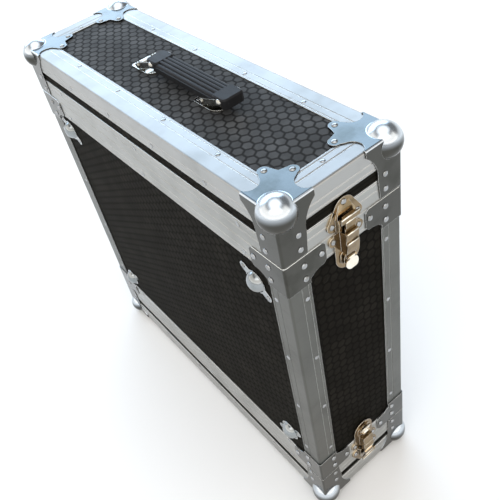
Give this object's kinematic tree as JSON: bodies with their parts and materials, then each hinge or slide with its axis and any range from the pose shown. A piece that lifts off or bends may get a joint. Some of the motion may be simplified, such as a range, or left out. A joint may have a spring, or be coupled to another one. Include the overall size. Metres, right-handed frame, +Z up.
{
  "type": "rack case",
  "caption": "Slim black rack case standing on end, with lift-off lids, aluminium edges, ball corners, butterfly latches and a folding handle.",
  "frame": {"origin": "on the floor under the middle of the case, at the level of the lower lid's ball corners", "axes": "+Z up along the case's depth from lid to lid, +X along the 19 inch width towards a latch side, -Y towards the side with the domed feet"},
  "size_m": [0.5364, 0.1699, 0.566],
  "materials": {
    "laminated_plywood": "black laminate with a fine hexagon texture",
    "aluminium_extrusion": "satin anodised",
    "zinc_plated_steel": "bright zinc plate",
    "nickel_plated_steel": "bright nickel plate",
    "rail_steel": "zinc plate",
    "grip_plastic": "satin moulded"
  },
  "bodies": {
    "sleeve": {"sleeve_panel_front": "laminated_plywood", "sleeve_panel_back": "laminated_plywood", "sleeve_panel_right": "laminated_plywood", "sleeve_panel_left": "laminated_plywood", "sleeve_edge_angles": "aluminium_extrusion", "sleeve_frame_top": "aluminium_extrusion", "sleeve_frame_bottom": "aluminium_extrusion", "sleeve_braces_top": "zinc_plated_steel", "sleeve_braces_bottom": "zinc_plated_steel", "domed_feet": "zinc_plated_steel", "rack_rail_top_right": "rail_steel", "rack_rail_top_left": "rail_steel", "rack_rail_bottom_right": "rail_steel", "rack_rail_bottom_left": "rail_steel", "latch_top_right_base": "nickel_plated_steel", "latch_top_left_base": "nickel_plated_steel", "latch_bottom_right_base": "nickel_plated_steel", "latch_bottom_left_base": "nickel_plated_steel"},
    "top_lid": {"top_lid_panel": "laminated_plywood", "top_lid_walls": "laminated_plywood", "top_lid_edge_angles": "aluminium_extrusion", "top_lid_frame": "aluminium_extrusion", "top_lid_ball_corners": "zinc_plated_steel", "latch_top_right_strike": "nickel_plated_steel", "latch_top_left_strike": "nickel_plated_steel", "handle_bracket_left": "nickel_plated_steel", "handle_bracket_right": "nickel_plated_steel", "handle_pivot_pins": "nickel_plated_steel"},
    "bottom_lid": {"bottom_lid_panel": "laminated_plywood", "bottom_lid_walls": "laminated_plywood", "bottom_lid_edge_angles": "aluminium_extrusion", "bottom_lid_frame": "aluminium_extrusion", "bottom_lid_ball_corners": "zinc_plated_steel", "latch_bottom_right_strike": "nickel_plated_steel", "latch_bottom_left_strike": "nickel_plated_steel"},
    "handle_link_left": {"handle_link_left": "nickel_plated_steel"},
    "handle_link_right": {"handle_link_right": "nickel_plated_steel"},
    "handle_grip": {"handle_grip": "grip_plastic", "handle_studs": "nickel_plated_steel"},
    "latch_top_right_carriage": {"latch_top_right_carriage": "nickel_plated_steel"},
    "latch_top_right_claw": {"latch_top_right_claw": "nickel_plated_steel"},
    "latch_top_right_spindle": {"latch_top_right_spindle": "nickel_plated_steel", "latch_top_right_wing_pin": "nickel_plated_steel"},
    "latch_top_right_wing": {"latch_top_right_wing": "nickel_plated_steel"},
    "latch_top_left_carriage": {"latch_top_left_carriage": "nickel_plated_steel"},
    "latch_top_left_claw": {"latch_top_left_claw": "nickel_plated_steel"},
    "latch_top_left_spindle": {"latch_top_left_spindle": "nickel_plated_steel", "latch_top_left_wing_pin": "nickel_plated_steel"},
    "latch_top_left_wing": {"latch_top_left_wing": "nickel_plated_steel"},
    "latch_bottom_right_carriage": {"latch_bottom_right_carriage": "nickel_plated_steel"},
    "latch_bottom_right_claw": {"latch_bottom_right_claw": "nickel_plated_steel"},
    "latch_bottom_right_spindle": {"latch_bottom_right_spindle": "nickel_plated_steel", "latch_bottom_right_wing_pin": "nickel_plated_steel"},
    "latch_bottom_right_wing": {"latch_bottom_right_wing": "nickel_plated_steel"},
    "latch_bottom_left_carriage": {"latch_bottom_left_carriage": "nickel_plated_steel"},
    "latch_bottom_left_claw": {"latch_bottom_left_claw": "nickel_plated_steel"},
    "latch_bottom_left_spindle": {"latch_bottom_left_spindle": "nickel_plated_steel", "latch_bottom_left_wing_pin": "nickel_plated_steel"},
    "latch_bottom_left_wing": {"latch_bottom_left_wing": "nickel_plated_steel"}
  },
  "joints": [
    {"name": "top_lid_lift", "type": "slide", "parent": "sleeve", "child": "top_lid", "axis": [0, 0, 1], "range_m": [0, 0.15]},
    {"name": "bottom_lid_lift", "type": "slide", "parent": "sleeve", "child": "bottom_lid", "axis": [0, 0, -1], "range_m": [0, 0.15]},
    {"name": "latch_top_right_twist", "type": "hinge", "parent": "sleeve", "child": "latch_top_right_spindle", "pos_m": [0.257, 0, 0.439], "axis": [1, 0, 0], "range_deg": [0, 180]},
    {"name": "latch_top_right_wing_fold", "type": "hinge", "parent": "latch_top_right_spindle", "child": "latch_top_right_wing", "pos_m": [0.263, 0, 0.4415], "axis": [0, -1, 0], "range_deg": [0, 95]},
    {"name": "latch_top_right_carriage_slide", "type": "slide", "parent": "sleeve", "child": "latch_top_right_carriage", "axis": [0, 0, -1], "range_m": [0, 0.006]},
    {"name": "latch_top_right_claw_tilt", "type": "hinge", "parent": "latch_top_right_carriage", "child": "latch_top_right_claw", "pos_m": [0.2619, 0, 0.4685], "axis": [0, -1, 0], "range_deg": [0, 6]},
    {"name": "latch_top_left_twist", "type": "hinge", "parent": "sleeve", "child": "latch_top_left_spindle", "pos_m": [-0.257, 0, 0.439], "axis": [1, 0, 0], "range_deg": [0, 180]},
    {"name": "latch_top_left_wing_fold", "type": "hinge", "parent": "latch_top_left_spindle", "child": "latch_top_left_wing", "pos_m": [-0.263, 0, 0.4415], "axis": [0, 1, 0], "range_deg": [0, 95]},
    {"name": "latch_top_left_carriage_slide", "type": "slide", "parent": "sleeve", "child": "latch_top_left_carriage", "axis": [0, 0, -1], "range_m": [0, 0.006]},
    {"name": "latch_top_left_claw_tilt", "type": "hinge", "parent": "latch_top_left_carriage", "child": "latch_top_left_claw", "pos_m": [-0.2619, 0, 0.4685], "axis": [0, 1, 0], "range_deg": [0, 6]},
    {"name": "latch_bottom_right_twist", "type": "hinge", "parent": "sleeve", "child": "latch_bottom_right_spindle", "pos_m": [0.257, 0, 0.114], "axis": [1, 0, 0], "range_deg": [0, 180]},
    {"name": "latch_bottom_right_wing_fold", "type": "hinge", "parent": "latch_bottom_right_spindle", "child": "latch_bottom_right_wing", "pos_m": [0.263, 0, 0.1115], "axis": [0, 1, 0], "range_deg": [0, 95]},
    {"name": "latch_bottom_right_carriage_slide", "type": "slide", "parent": "sleeve", "child": "latch_bottom_right_carriage", "axis": [0, 0, 1], "range_m": [0, 0.006]},
    {"name": "latch_bottom_right_claw_tilt", "type": "hinge", "parent": "latch_bottom_right_carriage", "child": "latch_bottom_right_claw", "pos_m": [0.2619, 0, 0.0845], "axis": [0, 1, 0], "range_deg": [0, 6]},
    {"name": "latch_bottom_left_twist", "type": "hinge", "parent": "sleeve", "child": "latch_bottom_left_spindle", "pos_m": [-0.257, 0, 0.114], "axis": [1, 0, 0], "range_deg": [0, 180]},
    {"name": "latch_bottom_left_wing_fold", "type": "hinge", "parent": "latch_bottom_left_spindle", "child": "latch_bottom_left_wing", "pos_m": [-0.263, 0, 0.1115], "axis": [0, -1, 0], "range_deg": [0, 95]},
    {"name": "latch_bottom_left_carriage_slide", "type": "slide", "parent": "sleeve", "child": "latch_bottom_left_carriage", "axis": [0, 0, 1], "range_m": [0, 0.006]},
    {"name": "latch_bottom_left_claw_tilt", "type": "hinge", "parent": "latch_bottom_left_carriage", "child": "latch_bottom_left_claw", "pos_m": [-0.2619, 0, 0.0845], "axis": [0, -1, 0], "range_deg": [0, 6]},
    {"name": "handle_lift", "type": "hinge", "parent": "top_lid", "child": "handle_link_left", "pos_m": [-0.0605, 0, 0.5495], "axis": [0, -1, 0], "range_deg": [0, 70]},
    {"name": "handle_link_right_swing", "type": "hinge", "parent": "top_lid", "child": "handle_link_right", "pos_m": [0.0685, 0, 0.5495], "axis": [0, -1, 0], "range_deg": [0, 70]},
    {"name": "handle_grip_level", "type": "hinge", "parent": "handle_link_left", "child": "handle_grip", "pos_m": [-0.0265, 0, 0.5605], "axis": [0, -1, 0], "range_deg": [-70, 0]}
  ],
  "couplings": [
    {"joint": "latch_top_right_carriage_slide", "follows": "latch_top_right_twist", "m_per_rad": 0.0019099},
    {"joint": "latch_top_right_claw_tilt", "follows": "latch_top_right_twist", "ratio": 0.033333},
    {"joint": "latch_top_left_carriage_slide", "follows": "latch_top_left_twist", "m_per_rad": 0.0019099},
    {"joint": "latch_top_left_claw_tilt", "follows": "latch_top_left_twist", "ratio": 0.033333},
    {"joint": "latch_bottom_right_carriage_slide", "follows": "latch_bottom_right_twist", "m_per_rad": 0.0019099},
    {"joint": "latch_bottom_right_claw_tilt", "follows": "latch_bottom_right_twist", "ratio": 0.033333},
    {"joint": "latch_bottom_left_carriage_slide", "follows": "latch_bottom_left_twist", "m_per_rad": 0.0019099},
    {"joint": "latch_bottom_left_claw_tilt", "follows": "latch_bottom_left_twist", "ratio": 0.033333},
    {"joint": "handle_link_right_swing", "follows": "handle_lift", "ratio": 1},
    {"joint": "handle_grip_level", "follows": "handle_lift", "ratio": -1}
  ]
}
